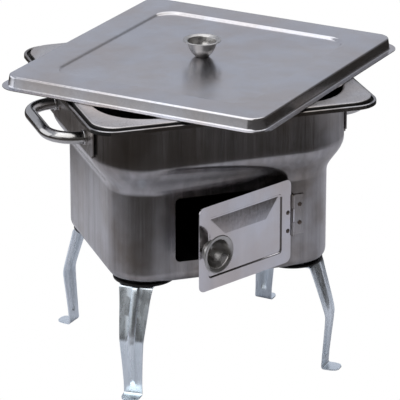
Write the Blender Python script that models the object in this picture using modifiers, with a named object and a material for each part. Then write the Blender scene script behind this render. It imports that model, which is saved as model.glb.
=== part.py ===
"""Square wood stove with a lift-out pan, a loose lid, a hinged feed door and four strap legs.

Metres, +Z up, the floor at z = 0. The front, with the door, faces -Y. The frame's origin is on the
floor below the middle of the lid, which lies turned and off centre on the pan.
"""
import math

import bmesh
import bpy
from mathutils import Matrix, Vector

MM = 0.001
GAP = 0.0003

# Overall placing
LID_SHIFT = (0.013, 0.019)
LID_TURN = math.radians(43.8)
DOOR_OPEN = math.radians(25.5)
PAN_SHIFT = (0.0012, 0.0005)

# Stove body
SHEET = 0.0008
CORNER_STEPS = 6
CORNER_X, CORNER_Y = 0.0885, 0.0785
RIM_X, RIM_Y, RIM_R = 0.175, 0.166, 0.030
RIM_Z = 0.3485
FLANGE_Z = 0.3450
BAND_R = 0.066
LOWER_R = 0.046
SHOULDER_TOP, SHOULDER_LOW = 0.291, 0.248
BASE_Z = 0.1373
BASE_BEND = 0.012

# Feed door and the opening behind it
OPENING_HALF, OPENING_LOW, OPENING_HIGH, OPENING_R = 0.066, 0.1638, 0.2430, 0.006
HINGE_X, HINGE_Y = 0.0777, -0.1274
HINGE_LOW, HINGE_HIGH = 0.1825, 0.2320
DOOR_W, DOOR_H, DOOR_R, DOOR_MARGIN = 0.148, 0.104, 0.008, 0.014
DOOR_Z = 0.2015
DOOR_EDGE = 0.0027
PANEL_DEPTH, PANEL_CROWN, CROWN_W = 0.0020, 0.0011, 0.015
KNOB_INSET = 0.0115

# Handles
PLATE_HALF, PLATE_LOW, PLATE_HIGH, PLATE_T = 0.094, 0.291, 0.341, 0.0016
HANDLE_HALF, HANDLE_REACH, HANDLE_Z = 0.064, 0.0390, 0.309
TUBE_R, HANDLE_BEND = 0.0074, 0.035

# Pan
PAN_X, PAN_Y, PAN_R = 0.1695, 0.1605, 0.030
PAN_TOP, PAN_LOW = 0.3510, 0.3000
PAN_WALL_X, PAN_WALL_Y, PAN_WALL_R = 0.1510, 0.1420, 0.0638

# Lid
LID_X, LID_Y, LID_R = 0.1776, 0.1692, 0.017
LID_FLANGE, LID_Z, LID_H = 0.0085, 0.3513, 0.0147
LID_BORDER, LID_STEP, LID_CROWN = 0.039, 0.0032, 0.0018

# Legs
STRAP = 0.0016
PAD_R, PAD_T, PAD_OUT = 0.037, 0.0025, 0.006
BOLT_OUT, BOLT_R, BOLT_HOLE = 0.004, 0.0030, 0.0034

# Fire grate
GRATE_X, GRATE_Y, GRATE_T = 0.112, 0.102, 0.0015
BOLT_END = 0.0085

ROUND = 24


# ---------------------------------------------------------------- scene helpers

def clear_scene():
    for obj in list(bpy.data.objects):
        bpy.data.objects.remove(obj, do_unlink=True)


def new_collection(name):
    collection = bpy.data.collections.new(name)
    bpy.context.scene.collection.children.link(collection)
    return collection


def material(name, colour, roughness, metallic):
    mat = bpy.data.materials.new(name)
    mat.use_nodes = True
    shader = mat.node_tree.nodes["Principled BSDF"]
    shader.inputs["Base Color"].default_value = (*colour, 1.0)
    shader.inputs["Roughness"].default_value = roughness
    shader.inputs["Metallic"].default_value = metallic
    mat.diffuse_color = (*colour, 1.0)
    return mat


def add_empty(name, location, turn=0.0, parent=None):
    empty = bpy.data.objects.new(name, None)
    empty.location = location
    empty.rotation_euler = (0, 0, turn)
    empty.parent = parent
    PARTS.objects.link(empty)
    return empty


def add_object(name, mesh, mat, parent, smooth=True):
    mesh.materials.clear()
    mesh.materials.append(mat)
    if smooth:
        mesh.shade_smooth()
        mesh.set_sharp_from_angle(angle=math.radians(35))
    obj = bpy.data.objects.new(name, mesh)
    obj.parent = parent
    PARTS.objects.link(obj)
    return obj


def mesh_from(name, bm):
    bmesh.ops.recalc_face_normals(bm, faces=bm.faces)
    mesh = bpy.data.meshes.new(name)
    bm.to_mesh(mesh)
    bm.free()
    return mesh


# ---------------------------------------------------------------- shape helpers

def ring(half_x, half_y, radius, z):
    """Rounded rectangle at height z, anticlockwise from the front right corner."""
    points = []
    for sx, sy, start in ((1, -1, -90), (1, 1, 0), (-1, 1, 90), (-1, -1, 180)):
        for step in range(CORNER_STEPS + 1):
            angle = math.radians(start + 90 * step / CORNER_STEPS)
            x = sx * (half_x - radius) + radius * math.cos(angle)
            y = sy * (half_y - radius) + radius * math.sin(angle)
            points.append(Vector((x, y, z)))
    return points


def loft(rings, cap_end=True):
    """Skin through rings of equal count, closed by one flat face at the last."""
    bm = bmesh.new()
    rows = [[bm.verts.new(p) for p in points] for points in rings]
    count = len(rows[0])
    for upper, lower in zip(rows, rows[1:]):
        for i in range(count):
            j = (i + 1) % count
            bm.faces.new((upper[i], upper[j], lower[j], lower[i]))
    if cap_end:
        bm.faces.new(rows[-1])
    return bm


def sheet(obj, thickness):
    """Give an open skin its thickness, half to each side."""
    mod = obj.modifiers.new("sheet", "SOLIDIFY")
    mod.thickness = thickness
    mod.offset = 0.0
    mod.use_even_offset = True
    return mod


def cut(obj, cutter):
    mod = obj.modifiers.new("cut", "BOOLEAN")
    mod.operation = "DIFFERENCE"
    mod.solver = "EXACT"
    mod.object = cutter
    return mod


def add_cutter(name, bm, parent, location=(0, 0, 0)):
    obj = bpy.data.objects.new(name, mesh_from(name, bm))
    obj.parent = parent
    obj.location = location
    obj.hide_render = True
    obj.display_type = "WIRE"
    CUTTERS.objects.link(obj)
    return obj


def box(size, centre=(0, 0, 0)):
    bm = bmesh.new()
    bmesh.ops.create_cube(bm, size=1.0)
    bmesh.ops.scale(bm, vec=size, verts=bm.verts)
    bmesh.ops.translate(bm, vec=centre, verts=bm.verts)
    return bm


def cylinder(radius, length, centre=(0, 0, 0), axis="Z", sides=ROUND):
    bm = bmesh.new()
    bmesh.ops.create_cone(bm, cap_ends=True, segments=sides, radius1=radius, radius2=radius,
                          depth=length)
    if axis == "Y":
        bmesh.ops.rotate(bm, cent=(0, 0, 0), matrix=Matrix.Rotation(math.pi / 2, 3, "X"),
                         verts=bm.verts)
    bmesh.ops.translate(bm, vec=centre, verts=bm.verts)
    return bm


def rounded_block(half_x, half_z, radius, depth):
    """Upright slab with rounded corners in XZ, its depth along Y, as a cutter."""
    bm = loft([[Vector((p.x, y, p.y)) for p in ring(half_x, half_z, radius, 0)]
               for y in (-depth / 2, depth / 2)])
    bmesh.ops.contextual_create(bm, geom=[e for e in bm.edges if e.is_boundary])
    return bm


def turned(name, profile, mat, parent, closed=False, steps=ROUND):
    """Body turned about its own Z from (radius, height) points that run down the outer side."""
    bm = bmesh.new()
    verts = [bm.verts.new((r, 0, z)) for r, z in profile]
    for a, b in zip(verts, verts[1:]):
        bm.edges.new((a, b))
    if closed:
        bm.edges.new((verts[-1], verts[0]))
    mesh = bpy.data.meshes.new(name)
    bm.to_mesh(mesh)
    bm.free()
    obj = add_object(name, mesh, mat, parent)
    mod = obj.modifiers.new("turn", "SCREW")
    mod.angle = 2 * math.pi
    mod.steps = steps
    mod.render_steps = steps
    mod.use_merge_vertices = True
    mod.merge_threshold = 0.00001
    mod.use_smooth_shade = True
    return obj


def hex_nut(name, across, height, bore, mat, parent, location):
    """Six-sided nut with a plain bore."""
    obj = add_object(name, mesh_from(name, cylinder(across / math.sqrt(3), height, sides=6)), mat,
                     parent, smooth=False)
    obj.location = location
    hole = add_cutter(name + "_bore", cylinder(bore, 3 * height), parent, location)
    cut(obj, hole)
    return obj


# ---------------------------------------------------------------- stove body

def shoulder(t):
    """Share of the inset reached at fraction t of the way down the shoulder."""
    return 0.5 - 0.5 * math.cos(math.pi * t)


def body_ring(radius, z):
    """Wall ring about the four corner centres that band, shoulder and firebox share."""
    return ring(CORNER_X + radius, CORNER_Y + radius, radius, z)


def body_rings():
    half = SHEET / 2
    rim_x, rim_y = RIM_X - half, RIM_Y - half
    rows = [ring(rim_x, rim_y, RIM_R, RIM_Z - 5.0 * MM),
            ring(rim_x, rim_y, RIM_R, RIM_Z - 1.3 * MM),
            ring(rim_x - 0.7 * MM, rim_y - 0.7 * MM, RIM_R - 0.7 * MM, RIM_Z - half),
            ring(rim_x - 2.0 * MM, rim_y - 2.0 * MM, RIM_R - 2.0 * MM, RIM_Z - half),
            ring(rim_x - 2.7 * MM, rim_y - 2.7 * MM, RIM_R - 2.7 * MM, RIM_Z - 1.3 * MM),
            ring(rim_x - 2.9 * MM, rim_y - 2.9 * MM, RIM_R - 2.9 * MM, FLANGE_Z + 0.4 * MM),
            ring(rim_x - 3.7 * MM, rim_y - 3.7 * MM, RIM_R - 3.7 * MM, FLANGE_Z - half),
            body_ring(BAND_R + 2.0 * MM, FLANGE_Z - half),
            body_ring(BAND_R + 0.3 * MM, FLANGE_Z - 1.2 * MM),
            body_ring(BAND_R - half, FLANGE_Z - 3.2 * MM),
            body_ring(BAND_R - half, SHOULDER_TOP)]
    for step in range(1, 7):
        t = step / 6
        radius = BAND_R - half - (BAND_R - LOWER_R) * shoulder(t)
        rows.append(body_ring(radius, SHOULDER_TOP + (SHOULDER_LOW - SHOULDER_TOP) * t))
    for step in range(0, 4):
        angle = math.radians(90 * step / 3)
        radius = LOWER_R - half - BASE_BEND * (1 - math.cos(angle))
        rows.append(body_ring(radius, BASE_Z + half + BASE_BEND * (1 - math.sin(angle))))
    return rows


def make_body(stove, mat):
    body = add_object("body_shell", mesh_from("body_shell", loft(body_rings())), mat, stove)
    sheet(body, SHEET)
    wall_y = CORNER_Y + LOWER_R
    opening = rounded_block(OPENING_HALF, (OPENING_HIGH - OPENING_LOW) / 2, OPENING_R, 0.02)
    cut(body, add_cutter("opening_cutter", opening, stove,
                         (0, -wall_y, (OPENING_HIGH + OPENING_LOW) / 2)))
    for index, z in enumerate(LEAF_RIVETS_Z):
        hole = cylinder(RIVET_HOLE, 0.01, (LEAF_RIVET_X, -wall_y, z), "Y", 12)
        cut(body, add_cutter(f"body_rivet_cutter_{index}", hole, stove))
    for name, x, y, _ in CORNERS:
        hole = cylinder(BOLT_HOLE, 0.01, sides=16)
        cut(body, add_cutter(f"base_bolt_cutter_{name}", hole, stove, (x, y, BASE_Z)))
    for side, sign in (("left", -1), ("right", 1)):
        for end, y in (("front", -PLATE_RIVET_Y), ("rear", PLATE_RIVET_Y)):
            hole = cylinder(RIVET_HOLE, 0.012, sides=12)
            bmesh.ops.rotate(hole, cent=(0, 0, 0), matrix=Matrix.Rotation(math.pi / 2, 3, "Y"),
                             verts=hole.verts)
            cut(body, add_cutter(f"plate_rivet_cutter_{side}_{end}", hole, stove,
                                 (sign * (CORNER_X + BAND_R), y, PLATE_RIVET_Z)))
    return body


# ---------------------------------------------------------------- rivets

RIVET_R, RIVET_HOLE, RIVET_HEAD, RIVET_HEAD_H = 0.0014, 0.0018, 0.0027, 0.0012
LEAF_RIVET_X, LEAF_RIVETS_Z = 0.0870, (0.2195, 0.1965)
PLATE_RIVET_Y, PLATE_RIVET_Z = 0.045, 0.3080
SINK_R, SINK_DEPTH = 0.0027, 0.0006


def rivet_profile(grip, flush):
    """Domed head above z = 0, shank through the grip, then a low tail or a flush cone."""
    head = [(0.0, RIVET_HEAD_H), (0.6 * RIVET_HEAD, 0.85 * RIVET_HEAD_H), (RIVET_HEAD, GAP),
            (RIVET_R, GAP)]
    if flush:
        end = -grip + 0.05 * MM
        return head + [(RIVET_R, end + SINK_DEPTH), (SINK_R - 0.45 * MM, end), (0.0, end)]
    end = -grip - 0.7 * RIVET_HEAD_H
    return head + [(RIVET_R, -grip - GAP), (0.85 * RIVET_HEAD, -grip - GAP),
                   (0.7 * RIVET_HEAD, end), (0.0, end)]


def make_rivet(name, grip, mat, parent, location, rotation, flush=False):
    rivet = turned(name, rivet_profile(grip, flush), mat, parent, steps=16)
    rivet.location = location
    rivet.rotation_euler = rotation
    return rivet


# ---------------------------------------------------------------- handles

def make_handle_plate(side, sign, stove, mat):
    """Flat strap along one side of the band, under the rim."""
    wall_x = CORNER_X + BAND_R
    height = PLATE_HIGH - PLATE_LOW
    bm = box((PLATE_T, 2 * PLATE_HALF, height))
    upright = [e for e in bm.edges if abs(e.verts[0].co.x - e.verts[1].co.x) > PLATE_T / 2]
    bmesh.ops.bevel(bm, geom=upright, offset=0.004, segments=3, affect="EDGES")
    name = f"handle_plate_{side}"
    plate = add_object(name, mesh_from(name, bm), mat, stove)
    plate.location = (sign * (wall_x + GAP + PLATE_T / 2), 0, (PLATE_HIGH + PLATE_LOW) / 2)
    for end, y in (("front", -PLATE_RIVET_Y), ("rear", PLATE_RIVET_Y)):
        hole = cylinder(RIVET_HOLE, 0.01, sides=12)
        bmesh.ops.rotate(hole, cent=(0, 0, 0), matrix=Matrix.Rotation(math.pi / 2, 3, "Y"),
                         verts=hole.verts)
        cut(plate, add_cutter(f"{name}_hole_{end}", hole, stove,
                              (plate.location.x, y, PLATE_RIVET_Z)))
        make_rivet(f"{name}_rivet_{end}", PLATE_T + GAP + SHEET, mat, stove,
                   (sign * (wall_x + GAP + PLATE_T), y, PLATE_RIVET_Z),
                   (0, sign * math.pi / 2, 0))
    return plate


def handle_route():
    """Half-hoop seen from above: two arms joined by quarter bends, starting at the plate."""
    bend = HANDLE_BEND
    points = [(0.0, -HANDLE_HALF)]
    for sign, first in ((-1, -90), (1, 0)):
        for step in range(7):
            angle = math.radians(first + 90 * step / 6)
            x = HANDLE_REACH - bend + bend * math.cos(angle)
            y = sign * (HANDLE_HALF - bend) + bend * math.sin(angle)
            points.append((x, y))
    points.append((0.0, HANDLE_HALF))
    return points


def make_handle(side, sign, stove, mat, collar_mat):
    """Polished tube hoop with a slim collar at each end."""
    foot_x = CORNER_X + BAND_R + GAP + PLATE_T + GAP
    curve = bpy.data.curves.new(f"handle_{side}_route", "CURVE")
    curve.dimensions = "3D"
    curve.bevel_depth = TUBE_R
    curve.bevel_resolution = 3
    curve.use_fill_caps = True
    spline = curve.splines.new("POLY")
    route = handle_route()
    spline.points.add(len(route) - 1)
    for point, (x, y) in zip(spline.points, route):
        point.co = (sign * x, y, 0.0, 1.0)
    guide = bpy.data.objects.new(f"handle_{side}_guide", curve)
    PARTS.objects.link(guide)
    depsgraph = bpy.context.evaluated_depsgraph_get()
    mesh = bpy.data.meshes.new_from_object(guide.evaluated_get(depsgraph))
    bpy.data.objects.remove(guide, do_unlink=True)
    bm = bmesh.new()
    bm.from_mesh(mesh)
    bmesh.ops.remove_doubles(bm, verts=bm.verts, dist=0.00001)
    handle = add_object(f"handle_{side}", mesh_from(f"handle_{side}", bm), mat, stove)
    handle.location = (sign * foot_x, 0, HANDLE_Z)
    for end, y in (("front", -HANDLE_HALF), ("rear", HANDLE_HALF)):
        inner, outer, deep = TUBE_R + GAP, TUBE_R + 1.5 * MM, 3.0 * MM
        collar = turned(f"handle_collar_{side}_{end}",
                        [(outer - 0.5 * MM, deep), (outer, deep - 0.5 * MM), (outer, 0.0),
                         (inner, 0.0), (inner, deep)], collar_mat, stove, closed=True)
        collar.location = (sign * foot_x, y, HANDLE_Z)
        collar.rotation_euler = (0, sign * math.pi / 2, 0)
    return handle


# ---------------------------------------------------------------- pan

def make_pan(stove, mat):
    half = SHEET / 2
    outer_x, outer_y = PAN_X - half, PAN_Y - half
    top = PAN_TOP - half
    bend = 12 * MM
    rows = [ring(outer_x, outer_y, PAN_R, FLANGE_Z + GAP),
            ring(outer_x, outer_y, PAN_R, top - 1.2 * MM),
            ring(outer_x - 0.4 * MM, outer_y - 0.4 * MM, PAN_R - 0.4 * MM, top - 0.4 * MM),
            ring(outer_x - 1.2 * MM, outer_y - 1.2 * MM, PAN_R - 1.2 * MM, top)]
    wall_x, wall_y = PAN_WALL_X, PAN_WALL_Y
    for inset, drop in ((-2.4, 0.0), (-0.9, 0.6), (0.0, 2.4)):
        rows.append(ring(wall_x - inset * MM, wall_y - inset * MM, PAN_WALL_R, top - drop * MM))
    taper = 2.5 * MM
    for step in range(0, 4):
        angle = math.radians(90 * step / 3)
        inset = taper + bend * (1 - math.cos(angle))
        z = PAN_LOW + half + bend * (1 - math.sin(angle))
        rows.append(ring(wall_x - inset, wall_y - inset, PAN_WALL_R - inset, z))
    pan = add_object("pan", mesh_from("pan", loft(rows)), mat, stove)
    pan.location = (PAN_SHIFT[0], PAN_SHIFT[1], 0)
    sheet(pan, SHEET)
    return pan


# ---------------------------------------------------------------- lid

def lid_rings():
    """Rim flange, skirt, flat border, pressed step and a slightly crowned middle."""
    half = SHEET / 2
    x, y, r = LID_X - half, LID_Y - half, LID_R
    low, top = half, LID_H - half
    rows = []
    for out, z in ((LID_FLANGE, low), (1.6 * MM, low), (0.4 * MM, low + 0.7 * MM),
                   (0.0, low + 2.0 * MM), (-0.2 * MM, top - 2.2 * MM), (-0.9 * MM, top - 0.7 * MM),
                   (-2.4 * MM, top)):
        rows.append(ring(x + out, y + out, r + out, z))
    step_r = 26 * MM
    for inward, drop in ((0.0, 0.0), (1.2 * MM, 0.5 * MM), (2.8 * MM, LID_STEP - 0.5 * MM),
                         (4.4 * MM, LID_STEP)):
        inset = LID_BORDER + inward
        rows.append(ring(x - inset, y - inset, step_r - inward, top - drop))
    rows.append(ring(0.012, 0.012, 0.006, top - LID_STEP + LID_CROWN))
    return rows


def make_lid(parent, mat):
    lid = add_object("lid", mesh_from("lid", loft(lid_rings())), mat, parent)
    sheet(lid, SHEET)
    cut(lid, add_cutter("lid_screw_cutter", cylinder(KNOB_BORE, 0.02, sides=16), parent,
                        (0, 0, LID_H - LID_STEP)))
    return lid


# ---------------------------------------------------------------- bowl knobs

KNOB_LIP, KNOB_H, KNOB_BORE = 0.0230, 0.0206, 0.0019


def knob_profile():
    """Section of the hollow knob: wide thin lip, round bowl, small flat base with a hole."""
    bowl = [(0.0182, 0.0186), (0.0174, 0.0160), (0.0157, 0.0104), (0.0126, 0.0050),
            (0.0092, 0.0014), (0.0080, 0.0)]
    wall = 1.0 * MM
    outside = [(KNOB_LIP, KNOB_H), (KNOB_LIP - 0.4 * MM, KNOB_H - 0.8 * MM)] + bowl
    inside = [(KNOB_BORE, 0.0), (KNOB_BORE, wall), (0.0072, wall), (0.0086, 0.0025), (0.0116, 0.0058),
              (0.0146, 0.0108), (0.0163, 0.0163), (0.0174, 0.0196), (0.0215, 0.0210)]
    return outside + inside


def make_knob(name, mat, steel, parent, location, rotation, grip):
    """Bowl knob held by a screw whose head sits in the bowl, with a nut behind the sheet."""
    holder = add_empty(name + "_axis", location, parent=parent)
    holder.rotation_euler = rotation
    turned(name, knob_profile(), mat, holder, closed=True, steps=32)
    seat = 1.0 * MM + GAP
    tail = -grip - 5.0 * MM
    turned(name + "_screw",
           [(0.0, seat + 2.6 * MM), (2.6 * MM, seat + 2.2 * MM), (4.2 * MM, seat + 1.0 * MM),
            (4.2 * MM, seat), (1.5 * MM, seat), (1.5 * MM, tail), (0.0, tail)], steel, holder,
           steps=20)
    height = 2.6 * MM
    hex_nut(name + "_nut", 5.5 * MM, height, 1.8 * MM, steel, holder,
            (0, 0, -grip - GAP - height / 2))
    return holder


# ---------------------------------------------------------------- feed door and hinge

LEAF_T, KNUCKLE_R, PIN_R, KNUCKLE_BORE = 0.0011, 0.0025, 0.0012, 0.0014
KNUCKLE_SPLIT = (0.1988, 0.2157)
LEAF_BACK = -HINGE_Y - (CORNER_Y + LOWER_R) - 0.4 * MM
DOOR_LEAF_W, BODY_LEAF_W = 0.0155, 0.0143
DOOR_RIVET_IN, DOOR_RIVETS_Z = 0.0075, (0.2120, 0.1890)


def hinge_leaf(name, sign, width, mat, parent, knuckles, reliefs, rivets, sunk):
    """Leaf along sign * X from the pin: knuckles and reliefs are height ranges at the pin."""
    middle = (HINGE_HIGH + HINGE_LOW) / 2
    leaf = box((width, LEAF_T, HINGE_HIGH - HINGE_LOW),
               (sign * width / 2, LEAF_BACK - LEAF_T / 2, middle))
    obj = add_object(name, mesh_from(name, leaf), mat, parent)
    for index, (low, high) in enumerate(knuckles):
        tube = add_cutter(f"{name}_knuckle_{index}", cylinder(KNUCKLE_R, high - low), parent,
                          (0, 0, (low + high) / 2))
        mod = obj.modifiers.new("join", "BOOLEAN")
        mod.operation = "UNION"
        mod.solver = "EXACT"
        mod.object = tube
    room = KNUCKLE_R + 0.6 * MM
    for index, (low, high) in enumerate(reliefs):
        relief = box((2 * room, 4 * room, high - low), (0, 0, (low + high) / 2))
        cut(obj, add_cutter(f"{name}_relief_{index}", relief, parent))
    cut(obj, add_cutter(f"{name}_pin_cutter", cylinder(KNUCKLE_BORE, 0.08), parent,
                        (0, 0, middle)))
    for index, (x, z) in enumerate(rivets):
        hole = cylinder(RIVET_HOLE, 0.01, (x, LEAF_BACK, z), "Y", 12)
        cut(obj, add_cutter(f"{name}_rivet_cutter_{index}", hole, parent))
        if sunk:
            cone = bmesh.new()
            bmesh.ops.create_cone(cone, cap_ends=True, segments=16, radius1=SINK_R,
                                  radius2=RIVET_HOLE, depth=SINK_DEPTH)
            bmesh.ops.rotate(cone, cent=(0, 0, 0), matrix=Matrix.Rotation(math.pi / 2, 3, "X"),
                             verts=cone.verts)
            bmesh.ops.translate(cone, vec=(x, LEAF_BACK + 0.02 * MM - SINK_DEPTH / 2, z),
                                verts=cone.verts)
            cut(obj, add_cutter(f"{name}_sink_cutter_{index}", cone, parent))
    return obj


def door_rings():
    """Flat margin, pressed-in step and a panel that rises to its middle, as XZ rings."""
    half_w, half_h = DOOR_W / 2, DOOR_H / 2
    rows = []
    for inset, radius, deep in ((0.0, DOOR_R, 0.0), (DOOR_MARGIN, 5 * MM, 0.0),
                                (DOOR_MARGIN + 0.8 * MM, 4.6 * MM, 0.3 * PANEL_DEPTH),
                                (DOOR_MARGIN + 2.2 * MM, 3.8 * MM, 0.8 * PANEL_DEPTH),
                                (DOOR_MARGIN + 3.2 * MM, 3.2 * MM, PANEL_DEPTH),
                                (DOOR_MARGIN + 3.2 * MM + CROWN_W, 1.0 * MM,
                                 PANEL_DEPTH - PANEL_CROWN)):
        flat = ring(half_w - inset, half_h - inset, radius, 0)
        rows.append([Vector((p.x, deep, p.y)) for p in flat])
    return rows


def make_door(hinge, mat, steel):
    """Door sheet in the hinge's frame: it reaches along -X, its face towards -Y."""
    middle_x = -DOOR_EDGE - DOOR_W / 2
    face_y = LEAF_BACK - LEAF_T - GAP - SHEET / 2
    door = add_object("door", mesh_from("door", loft(door_rings())), mat, hinge)
    door.location = (middle_x, face_y, DOOR_Z)
    sheet(door, SHEET)
    for index, z in enumerate(DOOR_RIVETS_Z):
        x = -DOOR_RIVET_IN
        cut(door, add_cutter(f"door_rivet_cutter_{index}",
                             cylinder(RIVET_HOLE, 0.01, (x, face_y, z), "Y", 12), hinge))
        make_rivet(f"door_rivet_{index + 1}", SHEET + GAP + LEAF_T, steel, hinge,
                   (x, face_y - SHEET / 2, z), (math.pi / 2, 0, 0), flush=True)
    knob_x = -DOOR_EDGE - DOOR_W + KNOB_INSET
    cut(door, add_cutter("door_screw_cutter",
                         cylinder(KNOB_BORE, 0.01, (knob_x, face_y, DOOR_Z), "Y", 16), hinge))
    make_knob("door_knob", mat, steel, hinge, (knob_x, face_y - SHEET / 2 - GAP, DOOR_Z),
              (math.pi / 2, 0, 0), SHEET + GAP)
    hinge_leaf("hinge_leaf_door", -1, DOOR_LEAF_W, steel, hinge,
               [(KNUCKLE_SPLIT[0] + GAP, KNUCKLE_SPLIT[1] - GAP)],
               [(HINGE_LOW - 0.01, KNUCKLE_SPLIT[0] + GAP),
                (KNUCKLE_SPLIT[1] - GAP, HINGE_HIGH + 0.01)],
               [(-DOOR_RIVET_IN, z) for z in DOOR_RIVETS_Z], True)
    return door


def make_hinge(stove, mat, steel):
    """Fixed leaf, pin and door, about an upright axis to the right of the opening."""
    fixed = add_empty("hinge_axis", (HINGE_X, HINGE_Y, 0), parent=stove)
    swing = add_empty("door_axis", (HINGE_X, HINGE_Y, 0), DOOR_OPEN, stove)
    knuckles = [(HINGE_LOW, KNUCKLE_SPLIT[0]), (KNUCKLE_SPLIT[1], HINGE_HIGH)]
    rivet_x = LEAF_RIVET_X - HINGE_X
    hinge_leaf("hinge_leaf_body", 1, BODY_LEAF_W, mat, fixed, knuckles, [KNUCKLE_SPLIT],
               [(rivet_x, z) for z in LEAF_RIVETS_Z], False)
    for index, z in enumerate(LEAF_RIVETS_Z):
        make_rivet(f"hinge_rivet_{index + 1}", LEAF_T + 0.4 * MM + SHEET, steel, fixed,
                   (rivet_x, LEAF_BACK - LEAF_T, z), (math.pi / 2, 0, 0))
    head, cap = 2.2 * MM, 1.0 * MM
    low, high = HINGE_LOW - GAP, HINGE_HIGH + GAP
    turned("hinge_pin", [(0.0, high + cap), (0.7 * head, high + 0.8 * cap), (head, high),
                         (PIN_R, high), (PIN_R, low), (head, low), (0.7 * head, low - 0.8 * cap),
                         (0.0, low - cap)], steel, fixed, steps=16)
    make_door(swing, mat, steel)


# ---------------------------------------------------------------- legs

CORNERS = []
for _name, _sx, _sy, _turn in (("front_left", -1, -1, 235), ("front_right", 1, -1, 320),
                               ("rear_right", 1, 1, 43), ("rear_left", -1, 1, 135)):
    _angle = math.radians(_turn)
    _bolt_x = _sx * CORNER_X + BOLT_OUT * math.cos(_angle)
    _bolt_y = _sy * CORNER_Y + BOLT_OUT * math.sin(_angle)
    CORNERS.append((_name, _bolt_x, _bolt_y, _angle))

TAB_Z = BASE_Z - GAP - PAD_T - GAP - STRAP / 2
FOOT_Z = STRAP / 2


def leg_stations():
    """(distance from the corner centre, height, width, rib height) down the middle of the strap."""
    bend = 5.0 * MM
    bend_x = 33.5 * MM
    stations = [(-18 * MM, TAB_Z, 26 * MM, 0.0), (-13 * MM, TAB_Z, 38 * MM, 0.0),
                (10 * MM, TAB_Z, 42 * MM, 0.0), (28 * MM, TAB_Z, 42 * MM, 0.0)]
    for degrees, rib in ((15, 0.0), (40, 0.6 * MM), (65, 2.2 * MM)):
        angle = math.radians(degrees)
        stations.append((bend_x + bend * math.sin(angle), TAB_Z - bend * (1 - math.cos(angle)),
                         41 * MM, rib))
    stations += [(42.0 * MM, 118 * MM, 37.5 * MM, 3.0 * MM), (47.6 * MM, 100 * MM, 34.5 * MM, 3.0 * MM),
                 (53.0 * MM, 82 * MM, 31.5 * MM, 2.6 * MM), (55.6 * MM, 71 * MM, 29.5 * MM, 1.4 * MM),
                 (55.4 * MM, 62 * MM, 28 * MM, 2.2 * MM), (53.4 * MM, 40 * MM, 25 * MM, 2.2 * MM),
                 (51.5 * MM, 20 * MM, 23 * MM, 2.0 * MM), (51.0 * MM, 13 * MM, 22.5 * MM, 0.3 * MM),
                 (50.4 * MM, 4.5 * MM, 22.5 * MM, 0.0), (51.0 * MM, 1.7 * MM, 22.5 * MM, 0.0),
                 (53.5 * MM, FOOT_Z, 22.5 * MM, 0.0), (62.0 * MM, FOOT_Z, 21.5 * MM, 0.0),
                 (67.5 * MM, FOOT_Z, 17 * MM, 0.0), (70.0 * MM, FOOT_Z, 9 * MM, 0.0)]
    return stations


def leg_mesh(name):
    """Strap skin with a pressed rib: one row of six points across each station."""
    stations = leg_stations()
    bm = bmesh.new()
    rows = []
    for index, (x, z, width, rib) in enumerate(stations):
        before = stations[max(index - 1, 0)]
        after = stations[min(index + 1, len(stations) - 1)]
        along = Vector((after[0] - before[0], after[1] - before[1])).normalized()
        out = Vector((-along.y, along.x)) * rib
        half = width / 2
        row = []
        for y, lift in ((-half, 0), (-5.2 * MM, 0), (-2.4 * MM, 1), (2.4 * MM, 1), (5.2 * MM, 0),
                        (half, 0)):
            y = max(-half, min(half, y))
            row.append(bm.verts.new((x + out.x * lift, y, z + out.y * lift)))
        rows.append(row)
    for upper, lower in zip(rows, rows[1:]):
        for a in range(5):
            bm.faces.new((upper[a], upper[a + 1], lower[a + 1], lower[a]))
    return mesh_from(name, bm)


def make_legs(stove, zinc, dark, steel):
    for name, bolt_x, bolt_y, turn in CORNERS:
        sx, sy = math.copysign(1, bolt_x), math.copysign(1, bolt_y)
        corner = add_empty(f"leg_corner_{name}", (sx * CORNER_X, sy * CORNER_Y, 0), turn, stove)
        leg = add_object(f"leg_{name}", leg_mesh(f"leg_{name}"), zinc, corner)
        sheet(leg, STRAP)
        hole = add_cutter(f"leg_bolt_cutter_{name}", cylinder(BOLT_HOLE, 0.06, sides=16), corner,
                          (BOLT_OUT, 0, TAB_Z))
        cut(leg, hole)
        pad = add_object(f"leg_pad_{name}",
                         mesh_from(f"leg_pad_{name}", cylinder(PAD_R, PAD_T, sides=40)), dark,
                         corner)
        pad.location = (PAD_OUT, 0, BASE_Z - GAP - PAD_T / 2)
        cut(pad, hole)
        under = TAB_Z - STRAP / 2 - GAP - BASE_Z - BOLT_END
        bolt = turned(f"leg_bolt_{name}",
                      [(0.0, 0.0), (BOLT_R, 0.0), (BOLT_R, under), (5.6 * MM, under),
                       (5.6 * MM, under - 2.0 * MM), (3.6 * MM, under - 3.5 * MM),
                       (0.0, under - 3.9 * MM)], steel, corner, steps=20)
        bolt.location = (BOLT_OUT, 0, BASE_Z + BOLT_END)
        nut_h = 4.6 * MM
        hex_nut(f"leg_nut_{name}", 10 * MM, nut_h, BOLT_R + 0.25 * MM, steel, corner,
                (BOLT_OUT, 0, BASE_Z + SHEET + GAP + nut_h / 2))


# ---------------------------------------------------------------- fire grate

def make_grate(stove, mat):
    """Slotted plate that rests on the ends of the four leg bolts."""
    low = BASE_Z + BOLT_END + GAP
    bm = loft([ring(GRATE_X, GRATE_Y, 30 * MM, low + GRATE_T), ring(GRATE_X, GRATE_Y, 30 * MM, low)])
    bmesh.ops.contextual_create(bm, geom=[e for e in bm.edges if e.is_boundary])
    grate = add_object("fire_grate", mesh_from("fire_grate", bm), mat, stove, smooth=False)
    for index in range(7):
        slot = box((8 * MM, 150 * MM, 0.01), ((index - 3) * 24 * MM, 0, low))
        cut(grate, add_cutter(f"grate_slot_{index}", slot, stove))
    return grate


# ---------------------------------------------------------------- build

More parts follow.
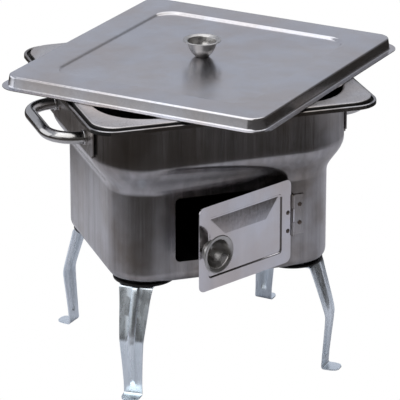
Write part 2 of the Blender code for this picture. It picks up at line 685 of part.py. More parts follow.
clear_scene()
PARTS = new_collection("rocket_stove")
CUTTERS = new_collection("cutters")

BRUSHED = material("brushed_stainless", (0.36, 0.35, 0.34), 0.34, 1.0)
LID_STEEL = material("lid_stainless", (0.50, 0.51, 0.54), 0.30, 1.0)
POLISHED = material("polished_stainless", (0.62, 0.61, 0.60), 0.12, 1.0)
ZINC = material("zinc_plate", (0.55, 0.62, 0.68), 0.38, 1.0)
DARK = material("dark_steel", (0.03, 0.03, 0.03), 0.6, 0.6)
FASTENER = material("fastener_steel", (0.50, 0.49, 0.47), 0.30, 1.0)

STOVE = add_empty("stove_centre", (-LID_SHIFT[0], -LID_SHIFT[1], 0))
LID_AXIS = add_empty("lid_axis", (0, 0, LID_Z), LID_TURN)

make_body(STOVE, BRUSHED)
for _side, _sign in (("left", -1), ("right", 1)):
    make_handle_plate(_side, _sign, STOVE, BRUSHED)
    make_handle(_side, _sign, STOVE, POLISHED, DARK)
make_pan(STOVE, LID_STEEL)
make_lid(LID_AXIS, LID_STEEL)
make_knob("lid_knob", POLISHED, FASTENER, LID_AXIS,
          (0, 0, LID_H - LID_STEP + LID_CROWN + GAP), (0, 0, 0), SHEET + GAP)
make_hinge(STOVE, BRUSHED, FASTENER)
make_legs(STOVE, ZINC, DARK, FASTENER)
make_grate(STOVE, DARK)
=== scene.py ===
"""Looks for the rocket stove: finer sheet-metal pieces, materials, studio and camera."""
import math

import bmesh
import bpy
from mathutils import Matrix, Vector


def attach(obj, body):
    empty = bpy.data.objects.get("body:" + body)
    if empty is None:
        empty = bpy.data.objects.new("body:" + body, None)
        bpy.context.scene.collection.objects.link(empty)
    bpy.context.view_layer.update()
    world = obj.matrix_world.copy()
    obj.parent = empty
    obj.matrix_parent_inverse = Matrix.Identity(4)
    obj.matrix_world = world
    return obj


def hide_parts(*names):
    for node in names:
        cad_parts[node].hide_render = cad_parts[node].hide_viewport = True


MM = 0.001
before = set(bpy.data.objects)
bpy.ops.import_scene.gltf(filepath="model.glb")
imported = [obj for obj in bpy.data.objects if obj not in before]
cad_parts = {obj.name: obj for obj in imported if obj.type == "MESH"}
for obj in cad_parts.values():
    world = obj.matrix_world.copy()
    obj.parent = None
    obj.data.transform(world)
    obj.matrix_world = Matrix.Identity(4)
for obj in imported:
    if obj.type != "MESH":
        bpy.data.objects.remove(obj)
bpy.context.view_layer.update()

# Places and sizes shared with the CAD model, in metres
BODY_X, BODY_Y = -0.013, -0.019
PAN_X0, PAN_Y0 = BODY_X + 0.0012, BODY_Y + 0.0005
LID_TURN = math.radians(43.8)
DOOR_TURN = math.radians(25.5)
HINGE = Vector((BODY_X + 0.0777, BODY_Y - 0.1274, 0))
SHEET, STRAP, GAP = 0.0008, 0.0016, 0.0003

# Shell: half sizes and corner radii seen from above, then heights
RIM_X, RIM_Y, RIM_R = 0.175, 0.166, 0.030
CORNER_X, CORNER_Y = 0.0885, 0.0785
BAND_R, LOWER_R, BASE_R = 0.066, 0.046, 0.012
RIM_Z, FLANGE_Z = 0.3485, 0.3450
SHOULDER_TOP, SHOULDER_LOW, BASE_Z = 0.291, 0.248, 0.1373
GROOVE_INSET = 0.0021
OPENING_X, OPENING_Z, OPENING_R, OPENING_AT = 0.066, 0.0396, 0.006, 0.2034

# Pan, its bowl, and lid
PAN_X, PAN_Y = 0.1695, 0.1605
PAN_TOP, PAN_LOW = 0.3510, 0.3000
BOWL_X, BOWL_Y, BOWL_R, BOWL_BASE_R = 0.1510, 0.1420, 0.0638, 0.012
LID_X, LID_Y, LID_R = 0.1776, 0.1692, 0.017
LID_Z, LID_H, LID_DROP = 0.3513, 0.0147, 0.0014
STEP_INSET, STEP_R = 0.039, 0.026
KNOB_SEAT, SCREW_HOLE = 0.0136, 0.0019

# Door: hinge axis to its edge, half width and height, height of its middle; then its holes
DOOR_EDGE, DOOR_X, DOOR_HALF_Z, DOOR_AT_Z = 0.0027, 0.074, 0.052, 0.2015
DOOR_KNOB_INSET, DOOR_RIVET_INSET, DOOR_HOLE = 0.0115, 0.0075, 0.0018
LEAF_BACK, LEAF_T = 0.0025, 0.0011

# Handles, pads and bolts
HANDLE_REACH, HANDLE_HALF, HANDLE_BEND = 0.0390, 0.064, 0.035
HANDLE_TUBE, HANDLE_Z, PLATE_OUT = 0.0074, 0.309, 0.0022
PAD_T, PAD_X, PAD_HOLE = 0.0025, 0.006, 0.0036
BOLT_X, BOLT_HOLE = 0.004, 0.0034


# ---------------------------------------------------------------- materials

class Nodes:
    """Small helper that adds and links shader nodes."""

    def __init__(self, name):
        self.mat = bpy.data.materials.new(name)
        self.mat.use_nodes = True
        self.tree = self.mat.node_tree
        self.shader = self.tree.nodes["Principled BSDF"]
        self.coords = self.tree.nodes.new("ShaderNodeTexCoord").outputs["Object"]

    def link(self, out, into):
        self.tree.links.new(out, into)

    def noise(self, scale, detail=4.0, rough=0.55, stretch=(1, 1, 1), turn=(0, 0, 0)):
        place = self.tree.nodes.new("ShaderNodeMapping")
        place.inputs["Scale"].default_value = stretch
        place.inputs["Rotation"].default_value = turn
        self.link(self.coords, place.inputs["Vector"])
        tex = self.tree.nodes.new("ShaderNodeTexNoise")
        tex.inputs["Scale"].default_value = scale
        tex.inputs["Detail"].default_value = detail
        tex.inputs["Roughness"].default_value = rough
        self.link(place.outputs["Vector"], tex.inputs["Vector"])
        return tex.outputs["Fac"]

    def ramp(self, fac, stops):
        node = self.tree.nodes.new("ShaderNodeValToRGB")
        node.color_ramp.elements[0].position = stops[0][0]
        node.color_ramp.elements[0].color = (*stops[0][1], 1)
        node.color_ramp.elements[1].position = stops[-1][0]
        node.color_ramp.elements[1].color = (*stops[-1][1], 1)
        for position, colour in stops[1:-1]:
            node.color_ramp.elements.new(position).color = (*colour, 1)
        self.link(fac, node.inputs["Fac"])
        return node.outputs["Color"]

    def spread(self, fac, low, high, start=0.3, end=0.7):
        node = self.tree.nodes.new("ShaderNodeMapRange")
        node.inputs["From Min"].default_value = start
        node.inputs["From Max"].default_value = end
        node.inputs["To Min"].default_value = low
        node.inputs["To Max"].default_value = high
        self.link(fac, node.inputs["Value"])
        return node.outputs["Result"]

    def mix(self, fac, a, b, blend="MIX"):
        node = self.tree.nodes.new("ShaderNodeMix")
        node.data_type = "RGBA"
        node.blend_type = blend
        if isinstance(fac, float):
            node.inputs[0].default_value = fac
        else:
            self.link(fac, node.inputs[0])
        self.link(a, node.inputs[6])
        self.link(b, node.inputs[7])
        return node.outputs[2]

    def bump(self, height, strength, distance, under=None):
        node = self.tree.nodes.new("ShaderNodeBump")
        node.inputs["Strength"].default_value = strength
        node.inputs["Distance"].default_value = distance
        self.link(height, node.inputs["Height"])
        if under is not None:
            self.link(under, node.inputs["Normal"])
        return node.outputs["Normal"]


def tint(colour, k):
    return tuple(min(1.0, c * k) for c in colour)


def brushed(name, colour, rough, grain=(900, 900, 14), streak=0.16, dirt=0.10, warm=0.0,
            metal=1.0):
    """Rolled sheet: fine grain lines, broader streaks, faint stains and wipe marks."""
    n = Nodes(name)
    fine = n.noise(1.0, 3.0, 0.6, grain)
    broad = n.noise(1.0, 3.0, 0.5, tuple(g / 9 for g in grain))
    cloud = n.noise(14.0, 4.0, 0.6)
    base = n.ramp(broad, [(0.28, tint(colour, 1 - streak)), (0.72, tint(colour, 1 + streak))])
    warmer = (1 - 0.1 * warm, 0.93 - 0.14 * warm, 0.86 - 0.2 * warm)
    stain = n.ramp(cloud, [(0.34, tint(warmer, 1 - dirt)), (0.62, (1.0, 1.0, 1.0))])
    n.link(n.mix(1.0, base, stain, "MULTIPLY"), n.shader.inputs["Base Color"])
    n.link(n.spread(fine, rough * 0.75, rough * 1.35), n.shader.inputs["Roughness"])
    n.shader.inputs["Metallic"].default_value = metal
    first = n.bump(fine, 0.10, 0.0002)
    n.link(n.bump(cloud, 0.06, 0.002, first), n.shader.inputs["Normal"])
    return n.mat


def polished(name, colour, rough):
    """Chrome with a trace of handling marks."""
    n = Nodes(name)
    marks = n.noise(60.0, 5.0, 0.65)
    smear = n.noise(18.0, 3.0, 0.6)
    n.link(n.ramp(smear, [(0.3, tint(colour, 0.9)), (0.7, colour)]),
           n.shader.inputs["Base Color"])
    n.link(n.spread(marks, rough * 0.6, rough * 1.8), n.shader.inputs["Roughness"])
    n.shader.inputs["Metallic"].default_value = 1.0
    n.link(n.bump(smear, 0.05, 0.001), n.shader.inputs["Normal"])
    return n.mat


def zinc(name):
    """Bright zinc plate: cool colour, crystalline mottling, lengthwise drawing lines."""
    n = Nodes(name)
    spangle = n.noise(60.0, 3.0, 0.5, (1, 1, 0.3))
    lines = n.noise(1.0, 2.0, 0.5, (160, 160, 10))
    n.link(n.ramp(spangle, [(0.3, (0.72, 0.80, 0.86)), (0.7, (0.86, 0.92, 0.97))]),
           n.shader.inputs["Base Color"])
    n.link(n.spread(lines, 0.20, 0.34), n.shader.inputs["Roughness"])
    n.shader.inputs["Metallic"].default_value = 1.0
    n.link(n.bump(lines, 0.02, 0.0001), n.shader.inputs["Normal"])
    return n.mat


def soot_and_shade(name, colour, rough=0.85, metallic=0.0):
    """Dark, matt face: burnt soot on inner faces, and painted shade in hollows and under parts."""
    n = Nodes(name)
    cloud = n.noise(30.0, 6.0, 0.65)
    n.link(n.ramp(cloud, [(0.3, tint(colour, 0.5)), (0.7, tint(colour, 1.6))]),
           n.shader.inputs["Base Color"])
    n.link(n.spread(cloud, rough * 0.85, min(1.0, rough * 1.1)), n.shader.inputs["Roughness"])
    n.shader.inputs["Metallic"].default_value = metallic
    n.link(n.bump(cloud, 0.2, 0.0006), n.shader.inputs["Normal"])
    return n.mat


STEEL = brushed("brushed_body", (0.35, 0.343, 0.352), 0.20, streak=0.20, dirt=0.34, warm=0.35,
                metal=0.96)
SATIN = brushed("satin_lid", (0.54, 0.545, 0.58), 0.20, (300, 300, 300), 0.03, 0.05)
FLANGE = brushed("satin_pan", (0.50, 0.49, 0.50), 0.32, (500, 500, 500), 0.05, 0.08)
DOORSTEEL = brushed("door_sheet", (0.60, 0.60, 0.64), 0.10, (500, 500, 60), 0.05, 0.06)
PLATE = brushed("plate_sheet", (0.50, 0.49, 0.50), 0.30, streak=0.08, dirt=0.10)
CHROME = polished("polished_steel", (0.50, 0.49, 0.48), 0.15)
KNOB = polished("satin_knob", (0.46, 0.45, 0.44), 0.27)
BOLT = polished("fastener_steel", (0.38, 0.34, 0.30), 0.26)
RIVET = polished("rivet_steel", (0.17, 0.14, 0.12), 0.32)
ZINC = zinc("zinc_plate")
# Soot inside the firebox, painted as black as the shade in it; painted shade in the groove under
# the pan's edge.
SOOT_AND_SHADE = soot_and_shade("soot_and_shade", (0.006, 0.0055, 0.005))
# Painted shade black: for the pads in the shade under the body, and for the burnt grate, painted
# as black as the firebox's shade.
SHADE_BLACK = soot_and_shade("painted_shade_black", (0.012, 0.012, 0.012), 0.5, 0.4)
# Painted shade for the pan's inside under the lid and for the upright edge of its flange.
PAN_SHADE = soot_and_shade("pan_painted_shade", (0.010, 0.0095, 0.009), 0.6)


# ---------------------------------------------------------------- shape helpers

def finished(name, obj, mats, body, *nodes, sharp=32):
    """Bakes the modifiers of a rough object into a shaded piece that stands for CAD nodes."""
    depsgraph = bpy.context.evaluated_depsgraph_get()
    mesh = bpy.data.meshes.new_from_object(obj.evaluated_get(depsgraph))
    mesh.name = name
    mesh.transform(obj.matrix_world)
    bpy.data.objects.remove(obj, do_unlink=True)
    mesh.materials.clear()
    for mat in mats:
        mesh.materials.append(mat)
    mesh.shade_smooth()
    mesh.set_sharp_from_angle(angle=math.radians(sharp))
    piece = bpy.data.objects.new(name, mesh)
    bpy.context.scene.collection.objects.link(piece)
    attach(piece, body)
    if nodes:
        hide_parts(*nodes)
    return piece


def rough_object(name, bm, matrix=None):
    """Object with the mesh as it is, before it is finished."""
    bmesh.ops.recalc_face_normals(bm, faces=bm.faces)
    mesh = bpy.data.meshes.new(name)
    bm.to_mesh(mesh)
    bm.free()
    obj = bpy.data.objects.new(name, mesh)
    bpy.context.scene.collection.objects.link(obj)
    if matrix is not None:
        obj.matrix_world = matrix
    bpy.context.view_layer.update()
    return obj


def ring(half_x, half_y, radius, z, steps=14):
    """Rounded rectangle at one height."""
    points = []
    for sx, sy, start in ((1, -1, -90), (1, 1, 0), (-1, 1, 90), (-1, -1, 180)):
        for step in range(steps + 1):
            angle = math.radians(start + 90 * step / steps)
            points.append(Vector((sx * (half_x - radius) + radius * math.cos(angle),
                                  sy * (half_y - radius) + radius * math.sin(angle), z)))
    return points


def loft(rings):
    """Surface through the rings, closed by a face on the last one."""
    bm = bmesh.new()
    rows = [[bm.verts.new(p) for p in points] for points in rings]
    count = len(rows[0])
    for upper, lower in zip(rows, rows[1:]):
        for i in range(count):
            j = (i + 1) % count
            bm.faces.new((upper[i], upper[j], lower[j], lower[i]))
    bm.faces.new(rows[-1])
    return bm


def solidify(obj, thickness, even=True):
    """Sheet of the given thickness with the surface at its middle."""
    mod = obj.modifiers.new("sheet", "SOLIDIFY")
    mod.thickness = thickness
    mod.offset = 0.0
    mod.use_even_offset = even


def cut(obj, bm, matrix):
    """Takes the placed cutter out of the object, with its modifiers baked in."""
    cutter = rough_object("cutter", bm, matrix)
    mod = obj.modifiers.new("cut", "BOOLEAN")
    mod.operation = "DIFFERENCE"
    mod.solver = "EXACT"
    mod.object = cutter
    bpy.context.view_layer.update()
    depsgraph = bpy.context.evaluated_depsgraph_get()
    mesh = bpy.data.meshes.new_from_object(obj.evaluated_get(depsgraph))
    obj.modifiers.clear()
    obj.data = mesh
    bpy.data.objects.remove(cutter, do_unlink=True)


def rounded_block(half_x, half_z, radius, depth):
    """Block with rounded corners in X and Z, along Y."""
    bm = loft([[Vector((p.x, y, p.y)) for p in ring(half_x, half_z, radius, 0, 8)]
               for y in (-depth / 2, depth / 2)])
    bmesh.ops.contextual_create(bm, geom=[e for e in bm.edges if e.is_boundary])
    return bm


def cylinder(radius, length, sides=32):
    bm = bmesh.new()
    bmesh.ops.create_cone(bm, cap_ends=True, segments=sides, radius1=radius, radius2=radius,
                          depth=length)
    return bm


def turned(profile, steps=64):
    """Mesh turned about Z from a closed (radius, height) section."""
    bm = bmesh.new()
    rows = []
    for i in range(steps):
        angle = 2 * math.pi * i / steps
        rows.append([bm.verts.new((r * math.cos(angle), r * math.sin(angle), z))
                     for r, z in profile])
    count = len(profile)
    for i in range(steps):
        a, b = rows[i], rows[(i + 1) % steps]
        for k in range(count):
            m = (k + 1) % count
            bm.faces.new((a[k], b[k], b[m], a[m]))
    return bm


def smooth_line(points, per=5):
    """Catmull-Rom points through tuples of any length."""
    out = []
    last = len(points) - 1
    for i in range(last):
        p0, p1 = points[max(i - 1, 0)], points[i]
        p2, p3 = points[i + 1], points[min(i + 2, last)]
        for s in range(per):
            t = s / per
            out.append(tuple(0.5 * (2 * b + (c - a) * t + (2 * a - 5 * b + 4 * c - d) * t * t
                                    + (3 * b - a - 3 * c + d) * t ** 3)
                             for a, b, c, d in zip(p0, p1, p2, p3)))
    out.append(tuple(points[-1]))
    return out


STOVE_AT = Matrix.Translation((BODY_X, BODY_Y, 0))
LID_AT = Matrix.Translation((0, 0, LID_Z)) @ Matrix.Rotation(LID_TURN, 4, "Z")
DOOR_AT = Matrix.Translation(HINGE) @ Matrix.Rotation(DOOR_TURN, 4, "Z")


# ---------------------------------------------------------------- body shell

def body_ring(radius, z):
    """Outline of the shell: corner centres stay and only the radius changes."""
    return ring(CORNER_X + radius, CORNER_Y + radius, radius, z)


def make_body():
    half = SHEET / 2
    x, y, r = RIM_X - half, RIM_Y - half, RIM_R
    rows = [ring(x - inset * MM, y - inset * MM, r - inset * MM, z) for inset, z in (
        (0, RIM_Z - 5.0 * MM), (0, RIM_Z - 1.7 * MM), (0.2, RIM_Z - 0.9 * MM),
        (0.7, RIM_Z - half - 0.1 * MM), (1.35, RIM_Z - half), (2.0, RIM_Z - half - 0.1 * MM),
        (2.55, RIM_Z - 0.9 * MM), (2.75, RIM_Z - 1.7 * MM), (2.9, FLANGE_Z + 0.4 * MM),
        (3.1, FLANGE_Z - 0.1 * MM), (3.7, FLANGE_Z - half))]
    for grow, drop in ((2.0, half), (0.8, 0.8 * MM), (0.2, 1.4 * MM), (-0.2, 2.3 * MM),
                       (-0.4, 3.4 * MM)):
        rows.append(body_ring(BAND_R + grow * MM, FLANGE_Z - drop))
    rows.append(body_ring(BAND_R - half, SHOULDER_TOP + 4 * MM))
    for step in range(17):
        t = step / 16
        radius = BAND_R - half - (BAND_R - LOWER_R) * (0.5 - 0.5 * math.cos(math.pi * t))
        rows.append(body_ring(radius, SHOULDER_TOP + (SHOULDER_LOW - SHOULDER_TOP) * t))
    rows.append(body_ring(LOWER_R - half, BASE_Z + half + 14 * MM))
    for step in range(9):
        angle = math.radians(90 * step / 8)
        radius = LOWER_R - half - BASE_R * (1 - math.cos(angle))
        rows.append(body_ring(radius, BASE_Z + half + BASE_R * (1 - math.sin(angle))))
    body = rough_object("rough", loft(rows), STOVE_AT)
    solidify(body, SHEET)
    wall = CORNER_Y + LOWER_R
    cut(body, rounded_block(OPENING_X, OPENING_Z, OPENING_R, 0.02),
        STOVE_AT @ Matrix.Translation((0, -wall, OPENING_AT)))
    piece = finished("body_skin", body, [STEEL, SOOT_AND_SHADE], "stove", "body_shell")
    # Groove faces under the pan's edge take the near-black material as painted shade. Inside faces
    # take it as soot, painted as black as the firebox's shade.
    for face in piece.data.polygons:
        c = face.center
        x, y = c.x - BODY_X, c.y - BODY_Y
        under_pan = abs(x) < RIM_X - GROOVE_INSET and abs(y) < RIM_Y - GROOVE_INSET
        shaded_groove = under_pan and FLANGE_Z - 3 * MM < c.z < RIM_Z - MM
        inner = c.z < FLANGE_Z - MM and (x * face.normal.x + y * face.normal.y < -0.01
                                         or face.normal.z > 0.5 and c.z < SHOULDER_LOW)
        face.material_index = 1 if shaded_groove or inner else 0
    return piece


# ---------------------------------------------------------------- pan and lid

def make_pan():
    half = SHEET / 2
    x, y, r, top = PAN_X - half, PAN_Y - half, RIM_R, PAN_TOP - half
    rows = [ring(x - i * MM, y - i * MM, r - i * MM, z) for i, z in (
        (0, FLANGE_Z + GAP), (0, top - 1.3 * MM), (0.15, top - 0.75 * MM),
        (0.5, top - 0.25 * MM), (1.2, top), (4.0, top))]
    x, y, r = BOWL_X, BOWL_Y, BOWL_R
    for i, drop in ((-2.6, 0.0), (-1.7, 0.15), (-0.9, 0.6), (-0.3, 1.4), (0.0, 2.4)):
        rows.append(ring(x - i * MM, y - i * MM, r, top - drop * MM))
    for step in range(9):
        angle = math.radians(90 * step / 8)
        inset = 2.5 * MM + BOWL_BASE_R * (1 - math.cos(angle))
        z = PAN_LOW + half + BOWL_BASE_R * (1 - math.sin(angle))
        rows.append(ring(x - inset, y - inset, r - inset, z))
    pan = rough_object("rough", loft(rows), Matrix.Translation((PAN_X0, PAN_Y0, 0)))
    solidify(pan, SHEET)
    piece = finished("pan_skin", pan, [FLANGE, PAN_SHADE], "pan", "pan")
    # The bowl's inside and the upright edge of the flange take the near-black material: painted
    # shade under the lid and under the flange's edge.
    for face in piece.data.polygons:
        c = face.center
        x, y = c.x - PAN_X0, c.y - PAN_Y0
        in_bowl = abs(x) < BOWL_X + 1.5 * MM and abs(y) < BOWL_Y + 1.5 * MM
        if face.normal.z > -0.5 and c.z < PAN_TOP - 1.5 * MM and in_bowl:
            if x * face.normal.x + y * face.normal.y < 0 or face.normal.z > 0.5:
                face.material_index = 1
        elif abs(face.normal.z) < 0.4 and c.z > FLANGE_Z:
            face.material_index = 1
    return piece


def make_lid():
    half = SHEET / 2
    x, y, r = LID_X - half, LID_Y - half, LID_R
    low, top = half, LID_H - half
    rows = [ring(x + out * MM, y + out * MM, r + out * MM, z) for out, z in (
        (8.5, low), (3.0, low), (2.3, low + 0.1 * MM), (1.6, low + 0.6 * MM),
        (1.1, low + 1.5 * MM), (0.8, low + 2.4 * MM), (-0.5, top - 2.4 * MM),
        (-0.75, top - 1.4 * MM), (-1.2, top - 0.55 * MM), (-1.9, top - 0.1 * MM), (-2.8, top))]
    for inward, drop in ((-1.0, 0.0), (0.0, 0.05), (0.9, 0.35), (2.2, 1.5), (3.2, 2.6),
                         (4.0, 3.1), (5.0, 3.25)):
        inset = STEP_INSET + inward * MM
        rows.append(ring(x - inset, y - inset, STEP_R - inward * MM, top - drop * MM))
    rows.append(ring(0.012, 0.012, 0.006, top - LID_DROP))
    lid = rough_object("rough", loft(rows), LID_AT)
    solidify(lid, SHEET)
    cut(lid, cylinder(SCREW_HOLE, 0.02), LID_AT @ Matrix.Translation((0, 0, LID_H - 0.0032)))
    return finished("lid_skin", lid, [SATIN], "lid", "lid")


# ---------------------------------------------------------------- bowl knobs

def make_knob(name, at, body, *nodes):
    outside = smooth_line([(22.7, 19.7), (18.6, 18.9), (17.4, 16.0), (15.7, 10.4), (12.6, 5.0),
                           (9.6, 1.6), (8.0, 0.0)], 6)
    inside = smooth_line([(7.2, 1.0), (8.8, 2.4), (11.6, 5.8), (14.6, 10.8), (16.3, 16.3),
                          (17.6, 19.5), (21.5, 20.9)], 6)
    lip = [(22.4, 20.95), (22.95, 20.6), (23.0, 20.1)]
    section = outside + [(1.9, 0.0), (1.9, 1.0)] + inside + lip
    knob = rough_object("rough", turned([(r * MM, z * MM) for r, z in section], 72), at)
    return finished(name, knob, [KNOB], body, *nodes, sharp=40)


# ---------------------------------------------------------------- door

def make_door():
    def upright(inset, radius, deep):
        flat = ring(DOOR_X - inset * MM, DOOR_HALF_Z - inset * MM, radius * MM, 0, 8)
        return [Vector((p.x, deep * MM, p.y)) for p in flat]
    step = smooth_line([(13.0, 5, 0.0), (14.1, 4.8, 0.0), (14.5, 4.6, 0.2), (15.6, 4.0, 1.78),
                        (16.1, 3.6, 1.98), (17.0, 3.2, 2.0)], 3)
    rows = [upright(*row) for row in ((0.0, 8, 0.0), *step, (17.6, 3.0, 2.0), (18.0, 2.9, 1.97),
                                      (40.0, 1.2, 0.16), (40.4, 1.1, 0.13), (41.4, 0.9, 0.12))]
    face_y = LEAF_BACK - LEAF_T - GAP - SHEET / 2
    at = DOOR_AT @ Matrix.Translation((-DOOR_EDGE - DOOR_X, face_y, DOOR_AT_Z))
    door = rough_object("rough", loft(rows), at)
    solidify(door, SHEET)
    rivet_x = DOOR_X + DOOR_EDGE - DOOR_RIVET_INSET
    for x, z in ((rivet_x, 0.0105), (rivet_x, -0.0125), (-DOOR_X + DOOR_KNOB_INSET, 0.0)):
        cut(door, cylinder(DOOR_HOLE, 0.01),
            at @ Matrix.Translation((x, 0, z)) @ Matrix.Rotation(math.pi / 2, 4, "X"))
    return finished("door_skin", door, [DOORSTEEL], "door", "door", sharp=40)


# ---------------------------------------------------------------- handles

def make_handle(side, sign):
    reach, half, bend = HANDLE_REACH, HANDLE_HALF, HANDLE_BEND
    route = [(0.0, -half)]
    for s, first in ((-1, -90), (1, 0)):
        for step in range(17):
            angle = math.radians(first + 90 * step / 16)
            route.append((reach - bend + bend * math.cos(angle),
                          s * (half - bend) + bend * math.sin(angle)))
    route.append((0.0, half))
    curve = bpy.data.curves.new("route", "CURVE")
    curve.dimensions = "3D"
    curve.bevel_depth = HANDLE_TUBE
    curve.bevel_resolution = 10
    curve.use_fill_caps = True
    spline = curve.splines.new("POLY")
    spline.points.add(len(route) - 1)
    for point, (x, y) in zip(spline.points, route):
        point.co = (sign * x, y, 0.0, 1.0)
    obj = bpy.data.objects.new("route", curve)
    bpy.context.scene.collection.objects.link(obj)
    foot = CORNER_X + BAND_R + PLATE_OUT
    obj.location = (BODY_X + sign * foot, BODY_Y, HANDLE_Z)
    bpy.context.view_layer.update()
    return finished(f"handle_tube_{side}", obj, [CHROME], "stove", f"handle_{side}")


# ---------------------------------------------------------------- legs

TAB_Z = BASE_Z - GAP - PAD_T - GAP - STRAP / 2


def leg_stations():
    """Distance out, height, width and rib height along the strap, in millimetres."""
    bend, bend_x = 5.0, 33.5
    stations = [(-18, TAB_Z / MM, 26, 0), (-13, TAB_Z / MM, 38, 0), (10, TAB_Z / MM, 42, 0),
                (28, TAB_Z / MM, 42, 0)]
    for degrees, rib in ((15, 0.0), (40, 0.6), (65, 2.2)):
        angle = math.radians(degrees)
        stations.append((bend_x + bend * math.sin(angle),
                         TAB_Z / MM - bend * (1 - math.cos(angle)), 41, rib))
    stations += [(42.0, 118, 37.5, 3.0), (47.6, 100, 34.5, 3.0), (53.0, 82, 31.5, 2.6),
                 (55.6, 71, 29.5, 1.4), (55.4, 62, 28, 2.2), (53.4, 40, 25, 2.2),
                 (51.5, 20, 23, 2.0), (51.0, 13, 22.5, 0.3), (50.4, 4.5, 22.5, 0),
                 (51.0, 1.7, 22.5, 0), (53.5, 0.8, 22.5, 0), (62.0, 0.8, 21.5, 0),
                 (67.5, 0.8, 17, 0), (70.0, 0.8, 9, 0)]
    return stations


def make_leg(name, at):
    stations = smooth_line(leg_stations(), 4)
    bm = bmesh.new()
    rows = []
    for index, (x, z, width, rib) in enumerate(stations):
        z = max(z, STRAP / 2 / MM)
        before, after = stations[max(index - 1, 0)], stations[min(index + 1, len(stations) - 1)]
        along = Vector((after[0] - before[0], after[1] - before[1])).normalized()
        out = Vector((-along.y, along.x)) * max(rib, 0)
        half = width / 2
        row = []
        for y, lift in ((-half, 0), (-half * 0.6, 0), (-4.8, 0), (-4.3, 0.12), (-3.3, 0.8),
                        (-2.6, 0.97), (0, 1.0), (2.6, 0.97), (3.3, 0.8), (4.3, 0.12), (4.8, 0),
                        (half * 0.6, 0), (half, 0)):
            y = max(-half, min(half, y))
            row.append(bm.verts.new(((x + out.x * lift) * MM, y * MM, (z + out.y * lift) * MM)))
        rows.append(row)
    for upper, lower in zip(rows, rows[1:]):
        for a in range(len(upper) - 1):
            bm.faces.new((upper[a], upper[a + 1], lower[a + 1], lower[a]))
    leg = rough_object("rough", bm, at)
    solidify(leg, STRAP, even=False)
    cut(leg, cylinder(BOLT_HOLE, 0.02), at @ Matrix.Translation((BOLT_X, 0, TAB_Z)))
    return finished("leg_strap_" + name, leg, [ZINC], "stove", "leg_" + name, sharp=40)


def make_pad(name, at):
    section = [(r * MM, z * MM) for r, z in ((3.4, -1.25), (36.2, -1.25), (36.8, -1.0),
                                             (37.0, -0.6), (37.0, 0.6), (36.8, 1.0),
                                             (36.2, 1.25), (3.4, 1.25))]
    at = at @ Matrix.Translation((PAD_X, 0, BASE_Z - GAP - PAD_T / 2))
    pad = rough_object("rough", turned(section, 72), at)
    hole = at @ Matrix.Translation((BOLT_X - PAD_X, 0, 0))
    cut(pad, cylinder(PAD_HOLE, 0.02), hole)
    # The pad is painted black as the shade under the body.
    return finished("pad_disc_" + name, pad, [SHADE_BLACK], "stove", "leg_pad_" + name)


# ---------------------------------------------------------------- build the pieces

make_body()
make_pan()
make_lid()
make_knob("lid_knob_bowl", LID_AT @ Matrix.Translation((0, 0, KNOB_SEAT)), "lid", "lid_knob")
_knob_x = -DOOR_EDGE - 2 * DOOR_X + DOOR_KNOB_INSET
make_knob("door_knob_bowl",
          DOOR_AT @ Matrix.Translation((_knob_x, 0.0, DOOR_AT_Z))
          @ Matrix.Rotation(math.pi / 2, 4, "X"), "door", "door_knob")
make_door()
for _side, _sign in (("left", -1), ("right", 1)):
    make_handle(_side, _sign)
for _name, _sx, _sy, _turn in (("front_left", -1, -1, 235), ("front_right", 1, -1, 320),
                               ("rear_right", 1, 1, 43), ("rear_left", -1, 1, 135)):
    _at = (STOVE_AT @ Matrix.Translation((_sx * CORNER_X, _sy * CORNER_Y, 0))
           @ Matrix.Rotation(math.radians(_turn), 4, "Z"))
    make_leg(_name, _at)
    make_pad(_name, _at)

# Looks of the CAD pieces by a word in the name: the first match counts, the rest are fasteners
# The fire grate takes the shade black: burnt, and painted as black as the shade in the firebox.
CAD_LOOKS = (("rivet", RIVET), ("handle_plate", PLATE), ("handle_collar", CHROME),
             ("fire_grate", SHADE_BLACK), ("hinge_leaf_body", PLATE), ("hinge_leaf_door", DOORSTEEL))
for node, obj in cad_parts.items():
    mat = next((look for word, look in CAD_LOOKS if word in node), BOLT)
    for slot in obj.material_slots:
        slot.material = mat


# ---------------------------------------------------------------- studio

def facing(tree, vector, toward, low, high):
    """0 to 1 as a direction turns towards the given one."""
    dot = tree.nodes.new("ShaderNodeVectorMath")
    dot.operation = "DOT_PRODUCT"
    dot.inputs[1].default_value = Vector(toward).normalized()
    tree.links.new(vector, dot.inputs[0])
    span = tree.nodes.new("ShaderNodeMapRange")
    span.interpolation_type = "SMOOTHSTEP"
    span.inputs["From Min"].default_value = low
    span.inputs["From Max"].default_value = high
    tree.links.new(dot.outputs["Value"], span.inputs["Value"])
    return span.outputs["Result"]


def outside(tree, centre, squeeze, low, high):
    """0 inside an ellipse on the floor, 1 outside it."""
    place = tree.nodes.new("ShaderNodeMapping")
    place.inputs["Location"].default_value = (-centre[0] * squeeze, -centre[1], 0)
    place.inputs["Scale"].default_value = (squeeze, 1, 1)
    position = tree.nodes.new("ShaderNodeNewGeometry").outputs["Position"]
    tree.links.new(position, place.inputs["Vector"])
    length = tree.nodes.new("ShaderNodeVectorMath")
    length.operation = "LENGTH"
    tree.links.new(place.outputs["Vector"], length.inputs[0])
    span = tree.nodes.new("ShaderNodeMapRange")
    span.interpolation_type = "SMOOTHSTEP"
    span.inputs["From Min"].default_value = low
    span.inputs["From Max"].default_value = high
    tree.links.new(length.outputs["Value"], span.inputs["Value"])
    return span.outputs["Result"]


def camera_white(tree, other, kind):
    """White to the camera, the other shader to everything else."""
    white = tree.nodes.new(kind)
    white.inputs["Color"].default_value = (1, 1, 1, 1)
    path = tree.nodes.new("ShaderNodeLightPath")
    mixer = tree.nodes.new("ShaderNodeMixShader")
    tree.links.new(path.outputs["Is Camera Ray"], mixer.inputs[0])
    tree.links.new(other, mixer.inputs[1])
    tree.links.new(white.outputs[0], mixer.inputs[2])
    return mixer.outputs[0]


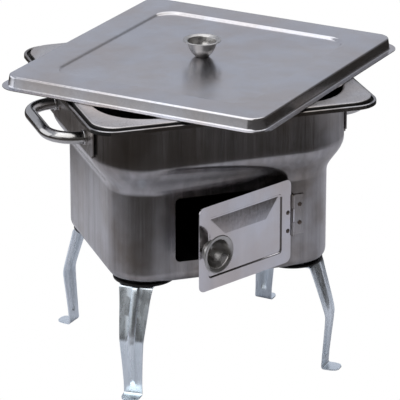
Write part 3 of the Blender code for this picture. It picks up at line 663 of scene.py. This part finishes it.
def make_floor():
    """Floor that the camera sees as plain white; it lights the steel as pale near, dark beyond."""
    bm = bmesh.new()
    bmesh.ops.create_grid(bm, x_segments=1, y_segments=1, size=8.0)
    floor = rough_object("floor", bm)
    n = Nodes("floor_sweep")
    tree = n.tree
    both = tree.nodes.new("ShaderNodeMath")
    both.operation = "MULTIPLY"
    n.link(outside(tree, (0.06, 0.12), 0.85, 0.46, 0.78), both.inputs[0])
    n.link(outside(tree, (0.35, -0.05), 1.0, 0.53, 0.68), both.inputs[1])
    shade = n.ramp(both.outputs[0], [(0.0, (0.68, 0.68, 0.72)), (1.0, (0.062, 0.055, 0.048))])
    diffuse = tree.nodes.new("ShaderNodeBsdfDiffuse")
    n.link(shade, diffuse.inputs["Color"])
    n.link(camera_white(tree, diffuse.outputs[0], "ShaderNodeEmission"),
           tree.nodes["Material Output"].inputs["Surface"])
    floor.data.materials.append(n.mat)


def make_world():
    """Plain white to the camera; to the steel, light behind and to the left, dark in front."""
    world = bpy.data.worlds.new("studio")
    world.use_nodes = True
    bpy.context.scene.world = world
    tree = world.node_tree
    way = tree.nodes.new("ShaderNodeTexCoord").outputs["Generated"]
    ramp = tree.nodes.new("ShaderNodeValToRGB")
    ramp.color_ramp.elements[0].color = (0.10, 0.097, 0.096, 1)
    ramp.color_ramp.elements[1].color = (0.54, 0.56, 0.62, 1)
    tree.links.new(facing(tree, way, (-0.35, 0.85, 0.30), -0.15, 0.65), ramp.inputs["Fac"])
    room = tree.nodes["Background"]
    tree.links.new(ramp.outputs["Color"], room.inputs["Color"])
    room.inputs["Strength"].default_value = 1.0
    tree.links.new(camera_white(tree, room.outputs[0], "ShaderNodeBackground"),
                   tree.nodes["World Output"].inputs["Surface"])


def add_light(name, location, target, size, power):
    light = bpy.data.lights.new(name, "AREA")
    light.shape = "RECTANGLE"
    light.size, light.size_y = size
    light.energy = power
    obj = bpy.data.objects.new(name, light)
    obj.location = location
    aim = Vector(target) - Vector(location)
    obj.rotation_euler = aim.to_track_quat("-Z", "Y").to_euler()
    bpy.context.scene.collection.objects.link(obj)


make_floor()
make_world()
add_light("key", (-1.6, -1.2, 2.4), (0, 0, 0.2), (2.8, 2.8), 40)
add_light("top", (0.3, 0.4, 2.6), (0, 0, 0.2), (2.8, 2.8), 32)
add_light("left_wall", (-2.4, 1.4, 1.0), (0, 0, 0.2), (2.8, 2.0), 16)
add_light("left_card", (-2.2, -0.75, 0.75), (0, 0, 0.3), (1.3, 1.2), 1.9)

cam_data = bpy.data.cameras.new("camera")
cam_data.lens = 288
cam_data.sensor_width = 36
cam_data.clip_end = 50
camera = bpy.data.objects.new("camera", cam_data)
camera.location = (-1.106 + BODY_X, -3.438 + BODY_Y, 1.561)
camera.rotation_mode = "QUATERNION"
camera.rotation_quaternion = Vector((0.2873, 0.8896, -0.3551)).to_track_quat("-Z", "Y")
bpy.context.scene.collection.objects.link(camera)
bpy.context.scene.camera = camera
bpy.context.scene.view_settings.view_transform = "Standard"
